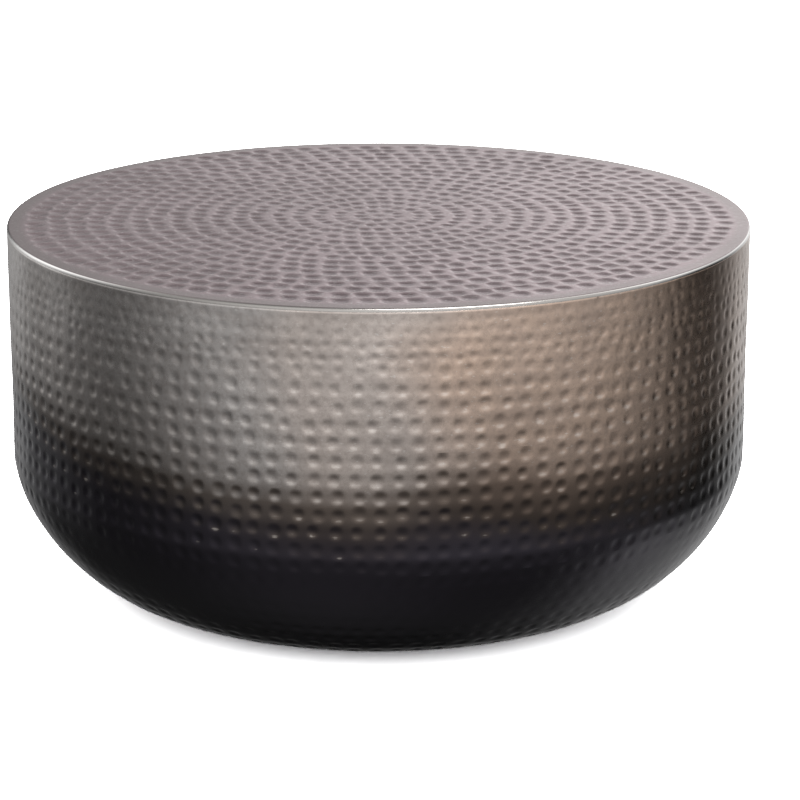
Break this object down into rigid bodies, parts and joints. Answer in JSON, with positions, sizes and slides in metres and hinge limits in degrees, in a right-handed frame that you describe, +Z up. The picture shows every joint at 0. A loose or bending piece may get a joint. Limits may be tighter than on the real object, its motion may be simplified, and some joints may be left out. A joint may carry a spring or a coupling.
{
  "type": "drum coffee table",
  "caption": "Low round coffee table: a hammered metal drum with a flat hammered top, straight wall and rounded foot, fading from silver bronze to black.",
  "frame": {"origin": "on the floor under the drum's axis, at the middle of the box's underside", "axes": "+Z up along the drum's axis; the table is round, so +X and +Y only number its screws and glides"},
  "size_m": [0.762, 0.762, 0.381],
  "materials": {
    "shell_metal": "hammered, silver bronze fading to black towards the foot, satin lacquer",
    "top_metal": "hammered in rings, antique silver bronze, bright rubbed edge",
    "plated_steel": "zinc plated",
    "fibreboard": "raw fibreboard",
    "nylon": "moulded, matt black"
  },
  "bodies": {
    "root": {"drum_shell": "shell_metal", "top_sheet": "top_metal", "support_ring": "plated_steel", "top_board": "fibreboard", "base_board": "fibreboard", "ring_screw_1": "plated_steel", "ring_screw_2": "plated_steel", "ring_screw_3": "plated_steel", "ring_screw_4": "plated_steel", "ring_screw_5": "plated_steel", "ring_screw_6": "plated_steel", "ring_screw_7": "plated_steel", "ring_screw_8": "plated_steel", "glide_screw_1": "plated_steel", "glide_screw_2": "plated_steel", "glide_screw_3": "plated_steel", "glide_screw_4": "plated_steel", "glide_screw_5": "plated_steel", "glide_screw_6": "plated_steel", "glide_1": "nylon", "glide_2": "nylon", "glide_3": "nylon", "glide_4": "nylon", "glide_5": "nylon", "glide_6": "nylon"}
  },
  "joints": []
}
